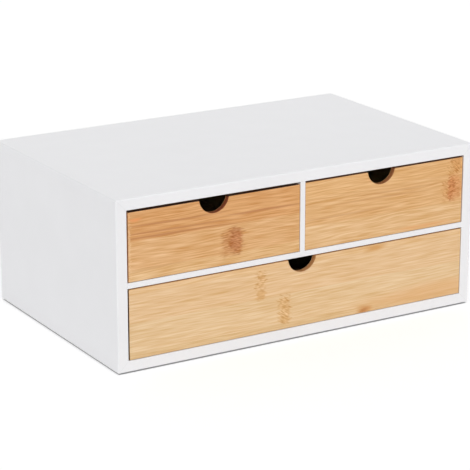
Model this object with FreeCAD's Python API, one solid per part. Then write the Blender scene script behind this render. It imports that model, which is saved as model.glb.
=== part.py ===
# Desktop mini drawers: a white painted casing that holds two small drawers above one wide drawer, each with
# a bamboo front and a half-round finger notch. Millimetres, Z up, the drawer fronts face -Y. The origin is on
# the table, under the middle of the casing.

import FreeCAD, Part
import os

# Casing: four boards with mitred corners, a shelf, a divider and a thin back

casing_width = 330.0
casing_depth = 210.0
casing_height = 137.0
board = 9.0
lower_bay_height = 57.5
inner_board = 4.5
casing_ease = 1.2
mouth_ease = 0.3

# The shelf and divider are let into blind grooves that begin behind the casing's front

shelf_groove = 3.0
divider_groove = 1.5
groove_setback = 8.0

# The back lies in a rebate and is pinned with brads, their heads level with its outer face

back_thickness = 3.0
rebate_width = 4.5
brad_length = 13.0
brad_radius = 0.6
brad_head_radius = 1.1
brad_head_thickness = 0.5
brad_clearance = 0.05
brad_width_shares = (-0.42, -0.14, 0.14, 0.42)
brad_height_shares = (-0.25, 0.25)

# Round pads under the casing's corners

pad_radius = 6.0
pad_thickness = 1.0
pad_inset = 14.0

# How each closed drawer lies in its bay, never quite in the middle: the gaps left of, right of and above it

left_drawer_left_gap = 1.3
left_drawer_right_gap = 0.3
left_drawer_top_gap = 2.1
right_drawer_left_gap = 0.3
right_drawer_right_gap = 0.7
right_drawer_top_gap = 1.6
wide_drawer_left_gap = 1.3
wide_drawer_right_gap = 0.3
wide_drawer_top_gap = 1.1

# Drawers: a bamboo front, two sides and a back of thinner board, and a bottom held in grooves

run_gap = 0.3
back_gap = 0.3
front_setback = 0.3
front_thickness = 5.0
front_ease = 0.5
front_housing = 2.0
drawer_board = 5.0
side_drop = 7.0
side_ease = 0.8
bottom_thickness = 3.0
bottom_rise = 3.5
bottom_groove = 2.5

# Finger notches: arcs about a point above the front's top edge, shifted a little from the front's middle

notch_radius = 13.2
notch_lift = 1.9
left_drawer_notch_shift = -1.5
right_drawer_notch_shift = -4.3
wide_drawer_notch_shift = -0.3

# How far a cutting shape runs past what it cuts, and how near counts as the same place

overrun = 2.0
same_place = 0.001

# Places that follow from the sizes above

half_width = casing_width / 2
half_depth = casing_depth / 2
casing_front = -half_depth
casing_bottom = pad_thickness
casing_top = casing_bottom + casing_height
bay_half_width = half_width - board
bay_floor = casing_bottom + board
bay_ceiling = casing_top - board
back_inner_face = half_depth - back_thickness
shelf_low = bay_floor + lower_bay_height
shelf_high = shelf_low + inner_board
half_divider = inner_board / 2
groove_front = casing_front + groove_setback

# Each drawer's left, right, low and high faces

left_drawer_left = -bay_half_width + left_drawer_left_gap
left_drawer_right = -half_divider - left_drawer_right_gap
left_drawer_high = bay_ceiling - left_drawer_top_gap
right_drawer_left = half_divider + right_drawer_left_gap
right_drawer_right = bay_half_width - right_drawer_right_gap
right_drawer_high = bay_ceiling - right_drawer_top_gap
wide_drawer_left = -bay_half_width + wide_drawer_left_gap
wide_drawer_right = bay_half_width - wide_drawer_right_gap
wide_drawer_high = shelf_low - wide_drawer_top_gap
upper_drawer_low = shelf_high + run_gap
wide_drawer_low = bay_floor + run_gap


def box(x_low, x_high, y_low, y_high, z_low, z_high):
    corner = FreeCAD.Vector(x_low, y_low, z_low)
    return Part.makeBox(x_high - x_low, y_high - y_low, z_high - z_low, corner)


def rod(x, z, radius, y_low, y_high):
    """A round bar along Y."""
    start = FreeCAD.Vector(x, y_low, z)
    return Part.makeCylinder(radius, y_high - y_low, start, FreeCAD.Vector(0, 1, 0))


def on_plane(edge, axis, place):
    """True when the whole edge lies in the plane where that axis has that place."""
    span = edge.BoundBox
    low = getattr(span, axis + "Min")
    high = getattr(span, axis + "Max")
    return abs(low - place) < same_place and abs(high - place) < same_place


def runs_along(edge, axis):
    """True for a straight edge that points along the axis."""
    return abs(getattr(edge.BoundBox, axis + "Length") - edge.Length) < same_place


def casing_ring():
    """The four outer boards in one piece, before the mitres part them."""
    block = box(-half_width, half_width, casing_front, half_depth, casing_bottom, casing_top)
    block = block.makeFillet(casing_ease, block.Edges)
    hollow_front = casing_front - overrun
    hollow_back = half_depth + overrun
    hollow = box(-bay_half_width, bay_half_width, hollow_front, hollow_back, bay_floor, bay_ceiling)
    ring = block.cut(hollow)
    mouth = [edge for edge in ring.Edges if on_plane(edge, "Y", casing_front) and inside_mouth(edge)]
    ring = ring.makeFillet(mouth_ease, mouth)
    ring = ring.cut(back_board_space(half_depth + overrun))
    ring = ring.cut(shelf_tongue(bay_half_width + shelf_groove))
    ring = ring.cut(divider_tongue(shelf_high, bay_ceiling + divider_groove))
    for x, z in brad_places():
        ring = ring.cut(rod(x, z, brad_radius + brad_clearance, half_depth - brad_length, half_depth))
    return ring


def inside_mouth(edge):
    """True for the edges round the casing's open front, not for those near its outer corners."""
    span = edge.BoundBox
    across = span.XMin > -bay_half_width - same_place and span.XMax < bay_half_width + same_place
    return across and span.ZMin > bay_floor - same_place and span.ZMax < bay_ceiling + same_place


def mitred_panel(ring, outline):
    """The part of the ring inside a four-sided outline, whose slanting ends are the mitres."""
    points = [FreeCAD.Vector(x, casing_front - overrun, z) for x, z in outline + outline[:1]]
    face = Part.Face(Part.makePolygon(points))
    wedge = face.extrude(FreeCAD.Vector(0, casing_depth + overrun + overrun, 0))
    return ring.common(wedge)


def casing_panels():
    """Each mitre runs from an outer corner of the ring to the inner corner beside it, and past both."""
    ring = casing_ring()
    wide = half_width + overrun
    narrow = bay_half_width - overrun
    top = casing_top + overrun
    ceiling = bay_ceiling - overrun
    bottom = casing_bottom - overrun
    floor = bay_floor + overrun
    outlines = {
        "top_panel": [(-wide, top), (wide, top), (narrow, ceiling), (-narrow, ceiling)],
        "bottom_panel": [(-wide, bottom), (wide, bottom), (narrow, floor), (-narrow, floor)],
        "left_side_panel": [(-wide, bottom), (-wide, top), (-narrow, ceiling), (-narrow, floor)],
        "right_side_panel": [(wide, bottom), (wide, top), (narrow, ceiling), (narrow, floor)],
    }
    return {name: mitred_panel(ring, outline) for name, outline in outlines.items()}


def shelf_tongue(reach):
    """The shelf's body behind its front corners, as wide as its grooves are far apart."""
    return box(-reach, reach, groove_front, back_inner_face, shelf_low, shelf_high)


def divider_tongue(low, high):
    return box(-half_divider, half_divider, groove_front, back_inner_face, low, high)


def shelf():
    plate = box(-bay_half_width, bay_half_width, casing_front, back_inner_face, shelf_low, shelf_high)
    lips = [edge for edge in plate.Edges if on_plane(edge, "Y", casing_front) and runs_along(edge, "X")]
    plate = plate.makeFillet(mouth_ease, lips)
    plate = plate.fuse(shelf_tongue(bay_half_width + shelf_groove))
    return plate.cut(divider_tongue(shelf_high - divider_groove, shelf_high + overrun)).removeSplitter()


def divider():
    plate = box(-half_divider, half_divider, casing_front, back_inner_face, shelf_high, bay_ceiling)
    lips = [edge for edge in plate.Edges if on_plane(edge, "Y", casing_front) and runs_along(edge, "Z")]
    plate = plate.makeFillet(mouth_ease, lips)
    tongue = divider_tongue(shelf_high - divider_groove, bay_ceiling + divider_groove)
    return plate.fuse(tongue).removeSplitter()


def back_board_space(outer_face):
    """The back's place in its rebate, out to the given face."""
    reach = bay_half_width + rebate_width
    low = bay_floor - rebate_width
    high = bay_ceiling + rebate_width
    return box(-reach, reach, back_inner_face, outer_face, low, high)


def brad_places():
    """Points along the middle of the rebate on all four boards."""
    reach = bay_half_width + rebate_width / 2
    low = bay_floor - rebate_width / 2
    high = bay_ceiling + rebate_width / 2
    middle = (low + high) / 2
    across = [(share * casing_width, z) for share in brad_width_shares for z in (low, high)]
    upright = [(x, middle + share * casing_height) for share in brad_height_shares for x in (-reach, reach)]
    return across + upright


def back_panel():
    panel = back_board_space(half_depth)
    head_seat = half_depth - brad_head_thickness
    for x, z in brad_places():
        panel = panel.cut(rod(x, z, brad_radius + brad_clearance, back_inner_face - overrun, half_depth))
        panel = panel.cut(rod(x, z, brad_head_radius + brad_clearance, head_seat, half_depth + overrun))
    return panel


def back_panel_brads():
    """All the brads as one group of separate solids."""
    head_seat = half_depth - brad_head_thickness
    brads = []
    for x, z in brad_places():
        shank = rod(x, z, brad_radius, half_depth - brad_length, head_seat)
        head = rod(x, z, brad_head_radius, head_seat, half_depth)
        brads.append(shank.fuse(head))
    return Part.makeCompound(brads)


def foot_pad(side, end):
    """A pad near one corner: side is -1 on the left, 1 on the right, and end is -1 in front, 1 behind."""
    centre = FreeCAD.Vector(side * (half_width - pad_inset), end * (half_depth - pad_inset), 0)
    return Part.makeCylinder(pad_radius, pad_thickness, centre)


def drawer(left, right, low, high, notch_shift):
    """The five pieces of a closed drawer between these faces."""
    front = casing_front + front_setback
    inner_front = front + front_thickness
    joint_front = inner_front - front_housing
    rear = back_inner_face - back_gap
    side_top = high - side_drop
    inner_left = left + drawer_board
    inner_right = right - drawer_board
    bottom_low = low + bottom_rise
    bottom_high = bottom_low + bottom_thickness
    groove_left = inner_left - bottom_groove
    groove_right = inner_right + bottom_groove

    bottom = box(groove_left, groove_right, joint_front, rear, bottom_low, bottom_high)

    panel = box(left, right, front, inner_front, low, high)
    notch_x = (left + right) / 2 + notch_shift
    panel = panel.cut(rod(notch_x, high + notch_lift, notch_radius, front - overrun, inner_front + overrun))
    rim = [edge for edge in panel.Edges if on_plane(edge, "Y", front)]
    panel = panel.makeFillet(front_ease, rim)
    cut_back = inner_front + overrun
    for x_low, x_high in ((left - overrun, inner_left), (inner_right, right + overrun)):
        panel = panel.cut(box(x_low, x_high, joint_front, cut_back, low - overrun, side_top))
    panel = panel.cut(box(groove_left, groove_right, joint_front, cut_back, bottom_low, bottom_high))

    sides = []
    for x_low, x_high in ((left, inner_left), (inner_right, right)):
        side = box(x_low, x_high, joint_front, rear, low, side_top)
        crest = [edge for edge in side.Edges if on_plane(edge, "Z", side_top) and runs_along(edge, "Y")]
        sides.append(side.makeFillet(side_ease, crest).cut(bottom))

    back = box(inner_left, inner_right, rear - drawer_board, rear, bottom_high, side_top)
    crest = [edge for edge in back.Edges if on_plane(edge, "Z", side_top) and runs_along(edge, "X")]
    back = back.makeFillet(side_ease, crest)
    return {"front": panel, "left_side": sides[0], "right_side": sides[1], "back": back, "bottom": bottom}


def all_pieces():
    pieces = casing_panels()
    pieces["shelf"] = shelf()
    pieces["divider"] = divider()
    pieces["back_panel"] = back_panel()
    pieces["back_panel_brads"] = back_panel_brads()
    for end_name, end in (("front", -1), ("rear", 1)):
        for side_name, side in (("left", -1), ("right", 1)):
            pieces["foot_pad_" + end_name + "_" + side_name] = foot_pad(side, end)
    faces = {
        "left_drawer": (left_drawer_left, left_drawer_right, upper_drawer_low, left_drawer_high),
        "right_drawer": (right_drawer_left, right_drawer_right, upper_drawer_low, right_drawer_high),
        "wide_drawer": (wide_drawer_left, wide_drawer_right, wide_drawer_low, wide_drawer_high),
    }
    notch_shifts = {
        "left_drawer": left_drawer_notch_shift,
        "right_drawer": right_drawer_notch_shift,
        "wide_drawer": wide_drawer_notch_shift,
    }
    for name, places in faces.items():
        for piece, shape in drawer(*places, notch_shifts[name]).items():
            pieces[name + "_" + piece] = shape
    return pieces


os.makedirs("parts", exist_ok=True)
for name, shape in all_pieces().items():
    shape.exportStep("parts/" + name + ".step")
    print(name, len(shape.Solids), "solid, volume", round(shape.Volume))
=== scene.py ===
"""The looks of a set of desktop mini drawers: a white painted casing with three bamboo fronted drawers.

Everything is in metres, in the model's own frame: +Z up, the fronts face -Y, the origin on the table.
Patterns are worked out in millimetres on each piece's own place, so they ride with the drawers.
"""

import math

import bpy
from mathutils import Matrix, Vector


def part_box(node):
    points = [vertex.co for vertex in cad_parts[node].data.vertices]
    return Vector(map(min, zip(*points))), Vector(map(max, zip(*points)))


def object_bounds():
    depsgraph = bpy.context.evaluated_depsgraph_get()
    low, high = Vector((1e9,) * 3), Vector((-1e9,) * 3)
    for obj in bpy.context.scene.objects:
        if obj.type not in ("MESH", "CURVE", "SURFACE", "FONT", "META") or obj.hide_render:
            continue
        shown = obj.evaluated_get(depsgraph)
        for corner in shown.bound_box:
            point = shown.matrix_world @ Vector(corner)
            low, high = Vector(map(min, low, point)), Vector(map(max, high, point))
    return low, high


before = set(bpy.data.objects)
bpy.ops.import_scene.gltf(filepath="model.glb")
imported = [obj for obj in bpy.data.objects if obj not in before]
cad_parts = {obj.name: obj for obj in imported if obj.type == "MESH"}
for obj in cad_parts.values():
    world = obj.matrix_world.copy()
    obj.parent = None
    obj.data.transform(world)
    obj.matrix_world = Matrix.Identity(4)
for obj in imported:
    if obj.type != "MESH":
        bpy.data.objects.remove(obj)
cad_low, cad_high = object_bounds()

# Lengths of the pattern work are millimetres
PER_METRE = 1000.0
# The noise's middle, and the values between which a sheen runs from its least to its most
NOISE_MIDDLE = 0.5
NOISE_RANGE = (0.3, 0.7)
# A mix node's sockets for colour: how much of the second, the first, the second, and the result
SHARE, FIRST, SECOND, MIXED = 0, 6, 7, 2


def linear(code):
    """The linear colour, with an alpha of 1, of an sRGB hex colour such as #F3F3F4."""
    shares = [int(code[place:place + 2], 16) / 255 for place in (1, 3, 5)]
    return tuple(s / 12.92 if s <= 0.04045 else ((s + 0.055) / 1.055) ** 2.4 for s in shares) + (1.0,)


def grey(value):
    """A colour, already linear, with the same value in its three channels and an alpha of 1."""
    return (value,) * 3 + (1.0,)


def fill(tree, node, inputs):
    """Fills a node's inputs with values or links."""
    for name, value in inputs.items():
        if isinstance(value, bpy.types.NodeSocket):
            tree.links.new(value, node.inputs[name])
        else:
            node.inputs[name].default_value = value


def add(tree, kind, settings=(), inputs=()):
    """Adds one node, gives it its settings, and fills its inputs. On a colour ramp, stops are its
    places and colours, and steps says how it runs from one stop to the next."""
    node = tree.nodes.new("ShaderNode" + kind)
    for name, value in dict(settings).items():
        if name == "stops":
            ramp = node.color_ramp
            ramp.elements[0].position, ramp.elements[0].color = value[0]
            ramp.elements[1].position, ramp.elements[1].color = value[-1]
            for place, colour in value[1:-1]:
                ramp.elements.new(place).color = colour
        elif name == "steps":
            node.color_ramp.interpolation = value
        else:
            setattr(node, name, value)
    fill(tree, node, dict(inputs))
    return node


def new_material(name):
    """A material, its tree, the principled shader on its output, and the place on the object in
    metres."""
    material = bpy.data.materials.new(name)
    material.use_nodes = True
    tree = material.node_tree
    tree.nodes.clear()
    shader = add(tree, "BsdfPrincipled")
    add(tree, "OutputMaterial", inputs={"Surface": shader.outputs["BSDF"]})
    place = add(tree, "TexCoord").outputs["Object"]
    return material, tree, shader, place


def dress(node, material):
    """Gives a node of the model one material all over."""
    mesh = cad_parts[node].data
    mesh.materials.clear()
    mesh.materials.append(material)


# Satin white paint on fibreboard

PAINT_MOTTLE = ((0.30, "#F2F2F4"), (0.70, "#F5F5F7"))
MOTTLE_SIZE = 45.0
MOTTLE_LAYERS = 3.0
PEEL_SIZE = 2.2
PEEL_LAYERS = 2.0
# How strong the peel's bump is, and how deep
PEEL_BUMP = (0.35, 0.010)
PAINT_ROUGHNESS = (0.42, 0.52)
# The line of a mitre: how wide, how far in from the side it goes, and how much light it keeps
MITRE_WIDTH = 0.5
MITRE_REACH = 9.5
MITRE_SHADE = 0.93
LACQUER_IOR = 1.5


def satin_paint():
    """Sprayed satin paint: an even cool white with a barely seen mottle and a slight orange peel in
    its sheen, and a faint line where it has sunk into the casing's mitred corners. The peel is drawn
    about twice as coarse as a real one, so that it shows at all."""
    material, tree, shader, place = new_material("satin_white_paint")
    broad = add(tree, "Mapping", inputs={"Vector": place, "Scale": (PER_METRE / MOTTLE_SIZE,) * 3})
    mottle = add(tree, "TexNoise",
                 inputs={"Vector": broad.outputs[0], "Scale": 1.0, "Detail": MOTTLE_LAYERS})
    colour = add(tree, "ValToRGB", {"stops": [(at, linear(code)) for at, code in PAINT_MOTTLE]},
                 {"Fac": mottle.outputs["Fac"]})
    small = add(tree, "Mapping", inputs={"Vector": place, "Scale": (PER_METRE / PEEL_SIZE,) * 3})
    peel = add(tree, "TexNoise",
               inputs={"Vector": small.outputs[0], "Scale": 1.0, "Detail": PEEL_LAYERS})
    sheen = add(tree, "MapRange",
                inputs={"Value": mottle.outputs["Fac"],
                        "From Min": NOISE_RANGE[0], "From Max": NOISE_RANGE[1],
                        "To Min": PAINT_ROUGHNESS[0], "To Max": PAINT_ROUGHNESS[1]})
    bump = add(tree, "Bump",
               inputs={"Strength": PEEL_BUMP[0], "Distance": PEEL_BUMP[1] / PER_METRE,
                       "Height": peel.outputs["Fac"]})

    # A mitre runs where the way in from the nearest side equals the way in from the top or foot
    foot = PER_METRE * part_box("bottom_panel")[0].z
    crown = PER_METRE * cad_high.z
    scaled = add(tree, "VectorMath", {"operation": "SCALE"}, {0: place, "Scale": PER_METRE})
    axes = add(tree, "SeparateXYZ", inputs={0: scaled.outputs[0]})
    aside = add(tree, "Math", {"operation": "ABSOLUTE"}, {0: axes.outputs[0]})
    inside = add(tree, "Math", {"operation": "SUBTRACT"},
                 {0: PER_METRE * cad_high.x, 1: aside.outputs[0]})
    above = add(tree, "Math", {"operation": "SUBTRACT"}, {0: axes.outputs[2], 1: foot})
    below = add(tree, "Math", {"operation": "SUBTRACT"}, {0: crown, 1: axes.outputs[2]})
    level = add(tree, "Math", {"operation": "MINIMUM"}, {0: above.outputs[0], 1: below.outputs[0]})
    gap = add(tree, "Math", {"operation": "SUBTRACT"}, {0: level.outputs[0], 1: inside.outputs[0]})
    off = add(tree, "Math", {"operation": "ABSOLUTE"}, {0: gap.outputs[0]})
    corner = add(tree, "Math", {"operation": "LESS_THAN"}, {0: inside.outputs[0], 1: MITRE_REACH})
    crest = add(tree, "MapRange",
                inputs={"Value": off.outputs[0], "From Min": 0.0, "From Max": MITRE_WIDTH,
                        "To Min": 1.0, "To Max": 0.0})
    line = add(tree, "Math", {"operation": "MULTIPLY"},
               {0: crest.outputs[0], 1: corner.outputs[0]})
    shaded = add(tree, "Mix", {"data_type": "RGBA", "blend_type": "MULTIPLY"},
                 {SHARE: line.outputs[0], FIRST: colour.outputs["Color"],
                  SECOND: grey(MITRE_SHADE)})
    fill(tree, shader, {"Base Color": shaded.outputs[MIXED], "Roughness": sheen.outputs["Result"],
                        "Normal": bump.outputs["Normal"], "IOR": LACQUER_IOR})
    return material


# Laminated bamboo under a matt lacquer, each front glued up from wide strips

# A cell is the length and height of a pattern's largest marks, along and across the fibres; each
# finer layer is half as long and high
FIGURE_CELL = (50.0, 2.6)
FIGURE_LAYERS = 2.0
FIGURE_ROUGHNESS = 1.0
HAIR_CELL = (24.0, 1.05)
HAIR_ROUGHNESS = 0.6
DRIFT_CELL = (110.0, 13.0)
DRIFT_GAIN = 0.20
WAVE_CELL = (75.0, 22.0)
WAVE_DEPTH = 2.6
RAGGED_CELL = (18.0, 1.5)
RAGGED_DEPTH = 5.0
PLAIN_LAYERS = 1.0
PLAIN_ROUGHNESS = 0.5
# How much more blue than red light the darker fibres swallow, and a tint that swallows none
FIGURE_TINT = (0.55, 1.0, 1.9)
UNTINTED = (1.0, 1.0, 1.0)
# How far along and up the pattern moves from the lowest strip to the topmost, and from front to front
STRIP_SHIFT = (211.0, 57.0)
FRONT_SHIFT = 13.7
# A knuckle's strokes: how long for half its length, how high, and how far they fray its outline
STROKE_LENGTH_SHARE = 0.8
STROKE_HEIGHT = 0.95
STROKE_REACH = 1.5
# Where a patch begins and where it is whole, 1 being its outline and 0 its middle
COMBED_FADE = (1.25, 0.65)
PATCH_FADE = (1.35, 0.35)
BAMBOO_ROUGHNESS = (0.46, 0.60)
BAMBOO_SHEEN_RANGE = (0.35, 0.65)
BAMBOO_BUMP = (0.5, 0.04)
# How deep behind a front's face the brown and painted shade of its sawn edges begin and are whole
EDGE_START = 0.25
EDGE_FULL = 0.70

# Places run along and up from a front's lower left corner, seen from in front. Seams are the heights
# of the glue lines. Tones and gains, the colour and the strength of the figure, go from the lowest
# strip up, and hairs is the strength of the fine fibres. Edges are the colours of the notch's rim, the
# top and the ends: the sawn edges' brown darkened with painted shade, most where they sit deep in the
# notch and in the gaps round the front. Each patch gives its place, half its length and height, its
# colour, how strong it is, how much its strokes show, and their angle in degrees.
FRONTS = {
    "left_drawer": {
        "seams": (8.8, 31.6),
        "tones": ("#E4B67E", "#E2AF77", "#DBA063"),
        "gains": (0.28, 0.33, 0.38),
        "hairs": 1.15,
        # Edge colours: the sawn brown with painted shade of the notch and gaps, the top darkest of all
        "edges": ("#995131", "#452217", "#CC8A5C"),
        "patches": (
            (90.8, 17.8, 8.8, 10.4, "#C98A50", 0.80, 3.4, 3.0),
            (93.8, 17.8, 5.0, 9.6, "#BA7340", 0.75, 3.2, -8.0),
            (94.0, 26.5, 6.5, 1.8, "#B97A45", 0.60, 0.0, 0.0),
            (86.5, 9.5, 6.5, 3.2, "#D39A62", 0.55, 1.2, 10.0),
            (6.5, 48.6, 6.0, 1.7, "#EE9C5C", 0.75, 0.0, 0.0),
            (35.0, 43.2, 50.0, 0.9, "#B87643", 0.65, 0.0, 0.0),
            (118.0, 40.0, 40.0, 0.9, "#B87643", 0.70, 0.0, 0.0),
            (40.0, 36.6, 60.0, 0.9, "#BC7A47", 0.65, 0.0, 0.0),
            (38.0, 33.0, 62.0, 1.1, "#B87643", 0.65, 0.0, 0.0),
            (30.0, 9.0, 45.0, 0.8, "#CE975F", 0.50, 0.0, 0.0),
            # A painted highlight: a pale band down the front's left end, where its eased edge catches
            # light
            (0.9, 26.0, 0.9, 34.0, "#F0C594", 0.70, 0.0, 0.0),
        ),
    },
    "right_drawer": {
        "seams": (18.8, 42.1),
        "tones": ("#E5B882", "#E2B076", "#E3B074"),
        "gains": (0.36, 0.43, 0.40),
        "hairs": 0.98,
        # Edge colours: the sawn brown with painted shade of the notch and gaps, the top darkest of all
        "edges": ("#B47347", "#7D4A2C", "#B47347"),
        "patches": (
            (137.5, 29.0, 4.5, 9.0, "#D89C5E", 0.60, 1.8, -30.0),
            (146.0, 30.5, 5.6, 11.0, "#D9965A", 0.85, 2.0, 4.0),
            (141.6, 30.5, 3.0, 10.8, "#C87E42", 0.85, 2.4, 8.0),
            (146.0, 50.0, 5.6, 7.6, "#D0924F", 0.80, 2.8, -36.0),
            (140.5, 46.5, 4.0, 5.5, "#DBA566", 0.55, 2.0, -36.0),
            (113.9, 2.5, 30.0, 1.8, "#E8AC70", 0.70, 0.0, 0.0),
            (91.0, 37.0, 40.0, 0.8, "#CD935A", 0.60, 0.0, 0.0),
            (76.0, 33.5, 45.0, 0.8, "#CD935A", 0.55, 0.0, 0.0),
            (36.0, 24.0, 45.0, 0.9, "#CD955E", 0.55, 0.0, 0.0),
        ),
    },
    "wide_drawer": {
        "seams": (4.9, 28.7, 51.5),
        "tones": ("#E2BD8A", "#E8C494", "#E8C08F", "#EAC18E"),
        "gains": (0.29, 0.27, 0.29, 0.29),
        "hairs": 0.62,
        # Edge colours: the sawn brown with painted shade of the notch and gaps, the ends darkest of all
        "edges": ("#D5975F", "#DCA36C", "#5E3826"),
        "patches": (
            (116.4, 44.0, 4.2, 8.0, "#DFB078", 0.85, 1.9, -6.0),
            (116.5, 32.0, 4.2, 3.8, "#DCA96B", 0.80, 0.9, 0.0),
            (138.2, 16.5, 5.2, 11.2, "#DFB076", 0.85, 2.0, -28.0),
            (138.5, 7.5, 4.6, 3.0, "#DAA96A", 0.60, 1.2, -28.0),
            (198.0, 28.3, 60.0, 0.7, "#F0D4AC", 0.70, 0.0, 0.0),
            (214.8, 2.7, 8.0, 3.0, "#D0904E", 0.95, 0.0, 0.0),
            (213.4, 2.3, 3.6, 1.6, "#B4702F", 0.70, 0.0, 0.0),
            (224.4, 53.0, 10.5, 2.6, "#D8A05C", 0.95, 0.0, 0.0),
            (285.0, 6.0, 75.0, 9.0, "#E4AE72", 0.60, 0.0, 0.0),
        ),
    },
}


def strip_by_strip(tree, share, limits, values):
    """A ramp that steps to the next strip's value, a colour, at each limit."""
    stops = [(0.0, values[0])] + list(zip(limits, values[1:]))
    ramp = add(tree, "ValToRGB", {"steps": "CONSTANT", "stops": stops}, {"Fac": share})
    return ramp.outputs["Color"]


def fibre_pattern(tree, place, cell, layers, roughness, offset, distortion=0.0):
    """Noise in long cells that lie along the fibres, taken from a part of its own of the pattern."""
    scaled = add(tree, "Mapping",
                 inputs={"Vector": place, "Location": (offset,) * 3,
                         "Scale": (1 / cell[0], 1 / cell[1], 1 / cell[1])})
    marks = add(tree, "TexNoise",
                inputs={"Vector": scaled.outputs[0], "Scale": 1.0, "Detail": layers,
                        "Roughness": roughness, "Distortion": distortion})
    return marks.outputs["Fac"]


def lay_patch(tree, colour, local, spot, patch):
    """A knuckle, knot, dark fibre or painted highlight laid on the bamboo's colour. A plain one is a
    soft oval. A combed one goes by the fourth powers of the way along and up, so it fills its corners
    more, and short strokes fray its outline and streak its colour."""
    centre, middle, half_length, half_height, code, strength, comb, angle = patch
    shape = add(tree, "Mapping",
                inputs={"Vector": spot,
                        "Location": (-centre / half_length, 0.0, -middle / half_height),
                        "Scale": (1 / half_length, 0.0, 1 / half_height)}).outputs[0]
    if comb:
        squared = add(tree, "VectorMath", {"operation": "MULTIPLY"}, {0: shape, 1: shape})
        far = add(tree, "VectorMath", {"operation": "LENGTH"}, {0: squared.outputs[0]})
        root = add(tree, "Math", {"operation": "SQRT"}, {0: far.outputs["Value"]})
        whole = add(tree, "MapRange", {"clamp": False},
                    {"Value": root.outputs[0], "From Min": COMBED_FADE[0],
                     "From Max": COMBED_FADE[1]})
        turned = add(tree, "Mapping",
                     inputs={"Vector": local, "Rotation": (0.0, math.radians(angle), 0.0)})
        cell = (STROKE_LENGTH_SHARE * half_length, STROKE_HEIGHT)
        strokes = fibre_pattern(tree, turned.outputs[0], cell, PLAIN_LAYERS, PLAIN_ROUGHNESS,
                                centre)
        weight = add(tree, "MapRange", {"clamp": False},
                     {"Value": strokes, "To Min": -comb / 2, "To Max": comb / 2})
        streak = add(tree, "VectorMath", {"operation": "MULTIPLY_ADD"},
                     {0: weight.outputs[0], 1: FIGURE_TINT, 2: UNTINTED})
        paint = add(tree, "VectorMath", {"operation": "MULTIPLY"},
                    {0: streak.outputs[0], 1: linear(code)[:3]}).outputs[0]
        dark = add(tree, "Math", {"operation": "SUBTRACT"}, {0: NOISE_MIDDLE, 1: strokes})
        near = add(tree, "Math", {"operation": "MULTIPLY_ADD"},
                   {0: dark.outputs[0], 1: STROKE_REACH, 2: whole.outputs[0]})
    else:
        paint = linear(code)
        far = add(tree, "VectorMath", {"operation": "LENGTH"}, {0: shape})
        near = add(tree, "MapRange",
                   inputs={"Value": far.outputs["Value"], "From Min": PATCH_FADE[0],
                           "From Max": PATCH_FADE[1]})
    mask = add(tree, "MapRange", {"interpolation_type": "SMOOTHSTEP"},
               {"Value": near.outputs[0], "To Max": strength})
    laid = add(tree, "Mix", {"data_type": "RGBA"},
               {SHARE: mask.outputs[0], FIRST: colour, SECOND: paint})
    return laid.outputs[MIXED]


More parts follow.
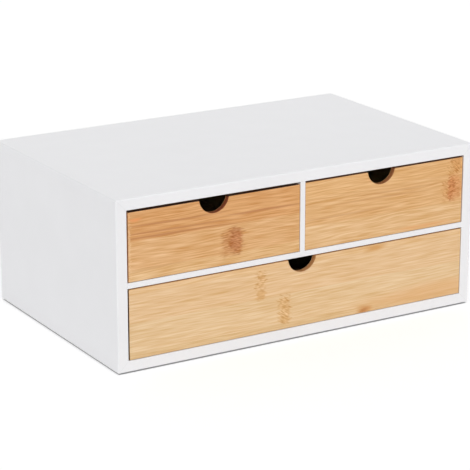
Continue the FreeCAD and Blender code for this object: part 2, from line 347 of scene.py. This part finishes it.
def bamboo_front(drawer, facts, offset):
    """Flat pressed bamboo: straight vascular fibres in wide strips, each strip its own tone, with the
    brown combed bands of the cane's knuckles. The hairs are drawn wider than real so that they show."""
    material, tree, shader, place = new_material(drawer + "_bamboo")
    low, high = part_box(drawer + "_front")
    size = PER_METRE * (high - low)
    corner = tuple(-PER_METRE * reach for reach in low)
    local = add(tree, "Mapping",
                inputs={"Vector": place, "Location": corner, "Scale": (PER_METRE,) * 3})
    along, depth, height = add(tree, "SeparateXYZ", inputs={0: local.outputs[0]}).outputs

    # Each strip is its own piece of cane, so its figure is taken from another part of the pattern
    limits = [seam / size.z for seam in facts["seams"]]
    share = add(tree, "Math", {"operation": "DIVIDE"}, {0: height, 1: size.z}).outputs[0]
    counts = [grey(number / len(limits)) for number in range(len(limits) + 1)]
    strip = strip_by_strip(tree, share, limits, counts)
    moved = add(tree, "VectorMath", {"operation": "MULTIPLY_ADD"},
                {0: strip, 1: (STRIP_SHIFT[0], 0.0, STRIP_SHIFT[1]), 2: local.outputs[0]})

    # The fibres wander a little up and down along a strip
    wave = fibre_pattern(tree, moved.outputs[0], WAVE_CELL, PLAIN_LAYERS, PLAIN_ROUGHNESS, offset)
    sway = add(tree, "MapRange", {"clamp": False},
               {"Value": wave, "To Min": -WAVE_DEPTH, "To Max": WAVE_DEPTH})
    lift = add(tree, "CombineXYZ", inputs={2: sway.outputs[0]})
    grain = add(tree, "VectorMath", {"operation": "ADD"},
                {0: moved.outputs[0], 1: lift.outputs[0]}).outputs[0]

    # The strips' own tones, a slow drift and the fibres on them
    tone = strip_by_strip(tree, share, limits, [linear(code) for code in facts["tones"]])
    gain = strip_by_strip(tree, share, limits, [grey(value) for value in facts["gains"]])
    figure = fibre_pattern(tree, grain, FIGURE_CELL, FIGURE_LAYERS, FIGURE_ROUGHNESS, offset)
    drift = fibre_pattern(tree, grain, DRIFT_CELL, PLAIN_LAYERS, PLAIN_ROUGHNESS, 2 * offset)
    hair = fibre_pattern(tree, grain, HAIR_CELL, PLAIN_LAYERS, HAIR_ROUGHNESS, 3 * offset)
    coarse = add(tree, "Math", {"operation": "SUBTRACT"}, {0: figure, 1: NOISE_MIDDLE})
    fine = add(tree, "Math", {"operation": "SUBTRACT"}, {0: hair, 1: NOISE_MIDDLE})
    slow = add(tree, "Math", {"operation": "SUBTRACT"}, {0: drift, 1: NOISE_MIDDLE})
    slow = add(tree, "Math", {"operation": "MULTIPLY"}, {0: slow.outputs[0], 1: DRIFT_GAIN})
    level = add(tree, "Math", {"operation": "MULTIPLY_ADD"},
                {0: fine.outputs[0], 1: facts["hairs"], 2: slow.outputs[0]})
    both = add(tree, "Math", {"operation": "MULTIPLY_ADD"},
               {0: coarse.outputs[0], 1: gain, 2: level.outputs[0]})
    tint = add(tree, "VectorMath", {"operation": "MULTIPLY_ADD"},
               {0: both.outputs[0], 1: FIGURE_TINT, 2: UNTINTED}).outputs[0]
    colour = add(tree, "VectorMath", {"operation": "MULTIPLY"}, {0: tone, 1: tint}).outputs[0]

    # Knuckles, knots, dark fibres and a painted highlight lie on top, with ragged ends
    breaks = fibre_pattern(tree, grain, RAGGED_CELL, PLAIN_LAYERS, PLAIN_ROUGHNESS, 3 * offset)
    reach = add(tree, "MapRange", {"clamp": False},
                {"Value": breaks, "To Min": -RAGGED_DEPTH, "To Max": RAGGED_DEPTH})
    spread = add(tree, "CombineXYZ", inputs={0: reach.outputs[0], 2: sway.outputs[0]})
    spot = add(tree, "VectorMath", {"operation": "ADD"},
               {0: local.outputs[0], 1: spread.outputs[0]}).outputs[0]
    for patch in facts["patches"]:
        colour = lay_patch(tree, colour, local.outputs[0], spot, patch)

    # The sawn edges: brown where the cut fibres drink the lacquer, darkened further with painted shade
    # where they sit deep in the notch and in the gaps round the front
    inward = add(tree, "MapRange", {"interpolation_type": "SMOOTHSTEP"},
                 {"Value": depth, "From Min": EDGE_START, "From Max": EDGE_FULL})
    outward = add(tree, "MapRange", {"interpolation_type": "SMOOTHSTEP"},
                  {"Value": depth, "From Min": size.y - EDGE_START,
                   "From Max": size.y - EDGE_FULL})
    sawn = add(tree, "Math", {"operation": "MULTIPLY"},
               {0: inward.outputs[0], 1: outward.outputs[0]})
    # Rim, top and ends: the wood's sawn brown with painted shade of the notch and gaps mixed in
    rim, top, ends = [linear(code) for code in facts["edges"]]
    at_top = add(tree, "Math", {"operation": "GREATER_THAN"},
                 {0: height, 1: size.z - EDGE_FULL})
    off_middle = add(tree, "Math", {"operation": "SUBTRACT"}, {0: along, 1: size.x / 2})
    aside = add(tree, "Math", {"operation": "ABSOLUTE"}, {0: off_middle.outputs[0]})
    at_end = add(tree, "Math", {"operation": "GREATER_THAN"},
                 {0: aside.outputs[0], 1: size.x / 2 - EDGE_FULL})
    rim_and_top_with_shade = add(tree, "Mix", {"data_type": "RGBA"},
                {SHARE: at_top.outputs[0], FIRST: rim, SECOND: top})
    brown = add(tree, "Mix", {"data_type": "RGBA"},
                {SHARE: at_end.outputs[0], FIRST: rim_and_top_with_shade.outputs[MIXED], SECOND: ends})
    brown = add(tree, "VectorMath", {"operation": "MULTIPLY"}, {0: tint, 1: brown.outputs[MIXED]})
    colour = add(tree, "Mix", {"data_type": "RGBA"},
                 {SHARE: sawn.outputs[0], FIRST: colour, SECOND: brown.outputs[0]})

    sheen = add(tree, "MapRange",
                inputs={"Value": figure, "From Min": BAMBOO_SHEEN_RANGE[0],
                        "From Max": BAMBOO_SHEEN_RANGE[1],
                        "To Min": BAMBOO_ROUGHNESS[1], "To Max": BAMBOO_ROUGHNESS[0]})
    bump = add(tree, "Bump",
               inputs={"Strength": BAMBOO_BUMP[0], "Distance": BAMBOO_BUMP[1] / PER_METRE,
                       "Height": figure})
    fill(tree, shader, {"Base Color": colour.outputs[MIXED], "Roughness": sheen.outputs["Result"],
                        "Normal": bump.outputs["Normal"], "IOR": LACQUER_IOR})
    return material


# Sanded birch plywood of the drawer boxes

VENEER = ((0.50, "#DCC19A"), (0.66, "#E8D3B1"), (0.84, "#F0DFC4"))
CROSS_PLY = "#CBAC82"
FLAME_CELL = (120.0, 14.0)
FLAME_LAYERS = 4.0
FLAME_DISTORTION = 0.6
PORE_CELL = (9.0, 0.5)
PORE_LAYERS = 2.0
PORE_SHARE = 0.35
PLY_ROUGHNESS = 0.62
PLY_BUMP = (0.4, 0.05)


def plywood(node, grain_axis, thick_axis, plies):
    """Rotary cut birch ply, sanded and left bare: a pale figure of long flames with short pores, and
    at the cut edges the plies, light where the grain runs along and darker where it is cut across."""
    material, tree, shader, place = new_material(node + "_plywood")
    low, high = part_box(node)
    corner = tuple(-PER_METRE * reach for reach in low)
    local = add(tree, "Mapping",
                inputs={"Vector": place, "Location": corner, "Scale": (PER_METRE,) * 3})
    axes = add(tree, "SeparateXYZ", inputs={0: local.outputs[0]}).outputs
    across_axis = 3 - grain_axis - thick_axis
    thickness = PER_METRE * (high - low)[thick_axis]
    turned = add(tree, "CombineXYZ",
                 inputs={0: axes[grain_axis], 1: axes[across_axis], 2: axes[thick_axis]})
    flame = fibre_pattern(tree, turned.outputs[0], FLAME_CELL, FLAME_LAYERS, PLAIN_ROUGHNESS, 0.0,
                          FLAME_DISTORTION)
    pore = fibre_pattern(tree, turned.outputs[0], PORE_CELL, PORE_LAYERS, PLAIN_ROUGHNESS, 0.0)
    figure = add(tree, "Math", {"operation": "MULTIPLY_ADD"}, {0: pore, 1: PORE_SHARE, 2: flame})
    veneer = add(tree, "ValToRGB", {"stops": [(at, linear(code)) for at, code in VENEER]},
                 {"Fac": figure.outputs[0]})
    share = add(tree, "Math", {"operation": "DIVIDE"}, {0: axes[thick_axis], 1: thickness})
    cross = strip_by_strip(tree, share.outputs[0], [ply / plies for ply in range(1, plies)],
                           [grey(float(ply % 2)) for ply in range(plies)])
    colour = add(tree, "Mix", {"data_type": "RGBA"},
                 {SHARE: cross, FIRST: veneer.outputs["Color"], SECOND: linear(CROSS_PLY)})
    bump = add(tree, "Bump", inputs={"Strength": PLY_BUMP[0], "Distance": PLY_BUMP[1] / PER_METRE,
                                     "Height": pore})
    fill(tree, shader, {"Base Color": colour.outputs[MIXED], "Normal": bump.outputs["Normal"],
                        "Roughness": PLY_ROUGHNESS, "IOR": LACQUER_IOR})
    return material


# Bright drawn steel of the brads

STEEL = ((0.35, "#A9A9AB"), (0.65, "#C9C9CB"))
DIE_MARK_SIZE = 0.5
DIE_MARK_LAYERS = 3.0
STEEL_ROUGHNESS = (0.28, 0.45)
STEEL_BUMP = (0.3, 0.03)


def drawn_steel():
    """Bright wire, cold headed: a clean grey metal with faint die marks and a dull bloom."""
    material, tree, shader, place = new_material("bright_steel")
    scaled = add(tree, "Mapping",
                 inputs={"Vector": place, "Scale": (PER_METRE / DIE_MARK_SIZE,) * 3})
    marks = add(tree, "TexNoise",
                inputs={"Vector": scaled.outputs[0], "Scale": 1.0,
                        "Detail": DIE_MARK_LAYERS}).outputs["Fac"]
    colour = add(tree, "ValToRGB", {"stops": [(at, linear(code)) for at, code in STEEL]},
                 {"Fac": marks})
    sheen = add(tree, "MapRange",
                inputs={"Value": marks, "From Min": NOISE_RANGE[0], "From Max": NOISE_RANGE[1],
                        "To Min": STEEL_ROUGHNESS[0], "To Max": STEEL_ROUGHNESS[1]})
    bump = add(tree, "Bump",
               inputs={"Strength": STEEL_BUMP[0], "Distance": STEEL_BUMP[1] / PER_METRE,
                       "Height": marks})
    fill(tree, shader, {"Base Color": colour.outputs["Color"], "Roughness": sheen.outputs["Result"],
                        "Normal": bump.outputs["Normal"], "Metallic": 1.0})
    return material


# Closed cell foam of the foot pads

FOAM = ((0.1, "#26272A"), (0.7, "#3A3B3E"))
FOAM_CELL = 0.4
FOAM_ROUGHNESS = 0.9
FOAM_BUMP = (0.6, 0.08)


def foam():
    """Punched foam sheet: a dull charcoal skin pitted with closed cells about 0.4 mm across."""
    material, tree, shader, place = new_material("charcoal_foam")
    scaled = add(tree, "Mapping", inputs={"Vector": place, "Scale": (PER_METRE / FOAM_CELL,) * 3})
    cells = add(tree, "TexVoronoi",
                inputs={"Vector": scaled.outputs[0], "Scale": 1.0}).outputs["Distance"]
    colour = add(tree, "ValToRGB", {"stops": [(at, linear(code)) for at, code in FOAM]},
                 {"Fac": cells})
    bump = add(tree, "Bump",
               inputs={"Strength": FOAM_BUMP[0], "Distance": FOAM_BUMP[1] / PER_METRE,
                       "Height": cells})
    fill(tree, shader, {"Base Color": colour.outputs["Color"], "Normal": bump.outputs["Normal"],
                        "Roughness": FOAM_ROUGHNESS})
    return material


# Which piece has which finish

PAINTED = ("top_panel", "bottom_panel", "left_side_panel", "right_side_panel", "shelf", "divider",
           "back_panel")
# A drawer box's boards: the axis of the face grain, the axis of the thickness, and the plies
BOARDS = (("left_side", 1, 0, 5), ("right_side", 1, 0, 5), ("back", 0, 1, 5), ("bottom", 0, 2, 3))


def dress_all():
    """Gives every node of the model its finish."""
    paint = satin_paint()
    for node in PAINTED:
        dress(node, paint)
    for number, (drawer, facts) in enumerate(FRONTS.items(), 1):
        dress(drawer + "_front", bamboo_front(drawer, facts, FRONT_SHIFT * number))
        for board, grain_axis, thick_axis, plies in BOARDS:
            node = drawer + "_" + board
            dress(node, plywood(node, grain_axis, thick_axis, plies))
    dress("back_panel_brads", drawn_steel())
    pad = foam()
    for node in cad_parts:
        if node.startswith("foot_pad"):
            dress(node, pad)


# The studio: a white room, broad soft lamps far away, and a floor that keeps a faint shadow

WORLD_LIGHT = 0.53
# The grey that bounces light, the grey that the eye sees, and the white glow added to that
FLOOR_COLOUR = 0.80
FLOOR_SEEN = 0.62
FLOOR_GLOW = 0.53
FLOOR_HALF = 8.0
# How far in under the casing the glow fades out, in metres
CONTACT_DEPTH = 0.0015
SUN_ANGLE = 70.0
# Where each lamp stands as seen from the drawers, and how strong it is
SUNS = {
    "front_lamp": ((0.25, -0.93, 0.26), 1.20),
    "left_lamp": ((-0.90, -0.25, 0.36), 0.98),
    "rear_lamp": ((0.65, 0.70, 0.30), 0.34),
}


def seen_rays(tree):
    """1 for a ray that is looked along, straight or by a mirror or glass, and 0 for one that
    carries light."""
    path = add(tree, "LightPath").outputs
    either = add(tree, "Math", {"operation": "MAXIMUM"},
                 {0: path["Is Camera Ray"], 1: path["Is Glossy Ray"]})
    seen = add(tree, "Math", {"operation": "MAXIMUM"},
               {0: either.outputs[0], 1: path["Is Transmission Ray"]})
    return seen.outputs[0]


def room():
    """Plain white to the eye, and a dimmer white that lights the drawers."""
    world = bpy.data.worlds.new("white_room")
    bpy.context.scene.world = world
    world.use_nodes = True
    tree = world.node_tree
    tree.nodes.clear()
    dim = add(tree, "Background", inputs={"Color": grey(1.0), "Strength": WORLD_LIGHT})
    white = add(tree, "Background", inputs={"Color": grey(1.0), "Strength": 1.0})
    both = add(tree, "MixShader",
               inputs={0: seen_rays(tree), 1: dim.outputs[0], 2: white.outputs[0]})
    add(tree, "OutputWorld", inputs={"Surface": both.outputs[0]})


def lamps():
    """Broad lamps so far away that only their direction counts."""
    for name, (toward, strength) in SUNS.items():
        lamp = bpy.data.lights.new(name, "SUN")
        lamp.energy = strength
        lamp.angle = math.radians(SUN_ANGLE)
        holder = bpy.data.objects.new(name, lamp)
        holder.rotation_mode = "QUATERNION"
        holder.rotation_quaternion = Vector(toward).to_track_quat("Z", "Y")
        bpy.context.scene.collection.objects.link(holder)


def floor():
    """A flat square; what the eye sees of it is a white glow and a part of its lit surface, so a
    shadow shows. The glow stops at the casing's foot, which leaves the dark line of its contact."""
    corners = [(-FLOOR_HALF, -FLOOR_HALF, 0), (FLOOR_HALF, -FLOOR_HALF, 0),
               (FLOOR_HALF, FLOOR_HALF, 0), (-FLOOR_HALF, FLOOR_HALF, 0)]
    mesh = bpy.data.meshes.new("studio_floor")
    mesh.from_pydata(corners, [], [(0, 1, 2, 3)])
    piece = bpy.data.objects.new("studio_floor", mesh)
    bpy.context.scene.collection.objects.link(piece)
    material = bpy.data.materials.new("matt_white_floor")
    material.use_nodes = True
    tree = material.node_tree
    tree.nodes.clear()
    bounce = add(tree, "BsdfDiffuse", inputs={"Color": grey(FLOOR_COLOUR)})
    lit = add(tree, "BsdfDiffuse", inputs={"Color": grey(FLOOR_SEEN)})
    place = add(tree, "TexCoord").outputs["Object"]
    offset = add(tree, "VectorMath", {"operation": "ABSOLUTE"}, {0: place})
    beyond = add(tree, "VectorMath", {"operation": "SUBTRACT"},
                 {0: offset.outputs[0], 1: tuple(cad_high)})
    sides = add(tree, "SeparateXYZ", inputs={0: beyond.outputs[0]})
    outside = add(tree, "Math", {"operation": "MAXIMUM"},
                  {0: sides.outputs[0], 1: sides.outputs[1]})
    strength = add(tree, "MapRange",
                   inputs={"Value": outside.outputs[0], "From Min": -CONTACT_DEPTH,
                           "From Max": 0.0, "To Min": 0.0, "To Max": FLOOR_GLOW})
    glow = add(tree, "Emission", inputs={"Color": grey(1.0), "Strength": strength.outputs[0]})
    shown = add(tree, "AddShader", inputs={0: lit.outputs[0], 1: glow.outputs[0]})
    both = add(tree, "MixShader",
               inputs={0: seen_rays(tree), 1: bounce.outputs[0], 2: shown.outputs[0]})
    add(tree, "OutputMaterial", inputs={"Surface": both.outputs[0]})
    mesh.materials.append(material)


# The camera: a long lens to the front left of the drawers, looking a little down

CAMERA_PLACE = (-0.84297, -1.40540, 0.56168)
CAMERA_TURN = 30.989
CAMERA_TILT = 17.090
LENS_LENGTH = 158.07
SENSOR_WIDTH = 36.0
NEAREST_SEEN = 0.05
FARTHEST_SEEN = 50.0


def camera():
    """Tilted down, unshifted and with everything in focus."""
    data = bpy.data.cameras.new("camera")
    data.lens = LENS_LENGTH
    data.sensor_width = SENSOR_WIDTH
    data.clip_start = NEAREST_SEEN
    data.clip_end = FARTHEST_SEEN
    holder = bpy.data.objects.new("camera", data)
    holder.location = CAMERA_PLACE
    holder.rotation_euler = (math.radians(90 - CAMERA_TILT), 0.0, math.radians(-CAMERA_TURN))
    bpy.context.scene.collection.objects.link(holder)
    bpy.context.scene.camera = holder


dress_all()
room()
lamps()
floor()
camera()
bpy.context.scene.view_settings.view_transform = "Standard"
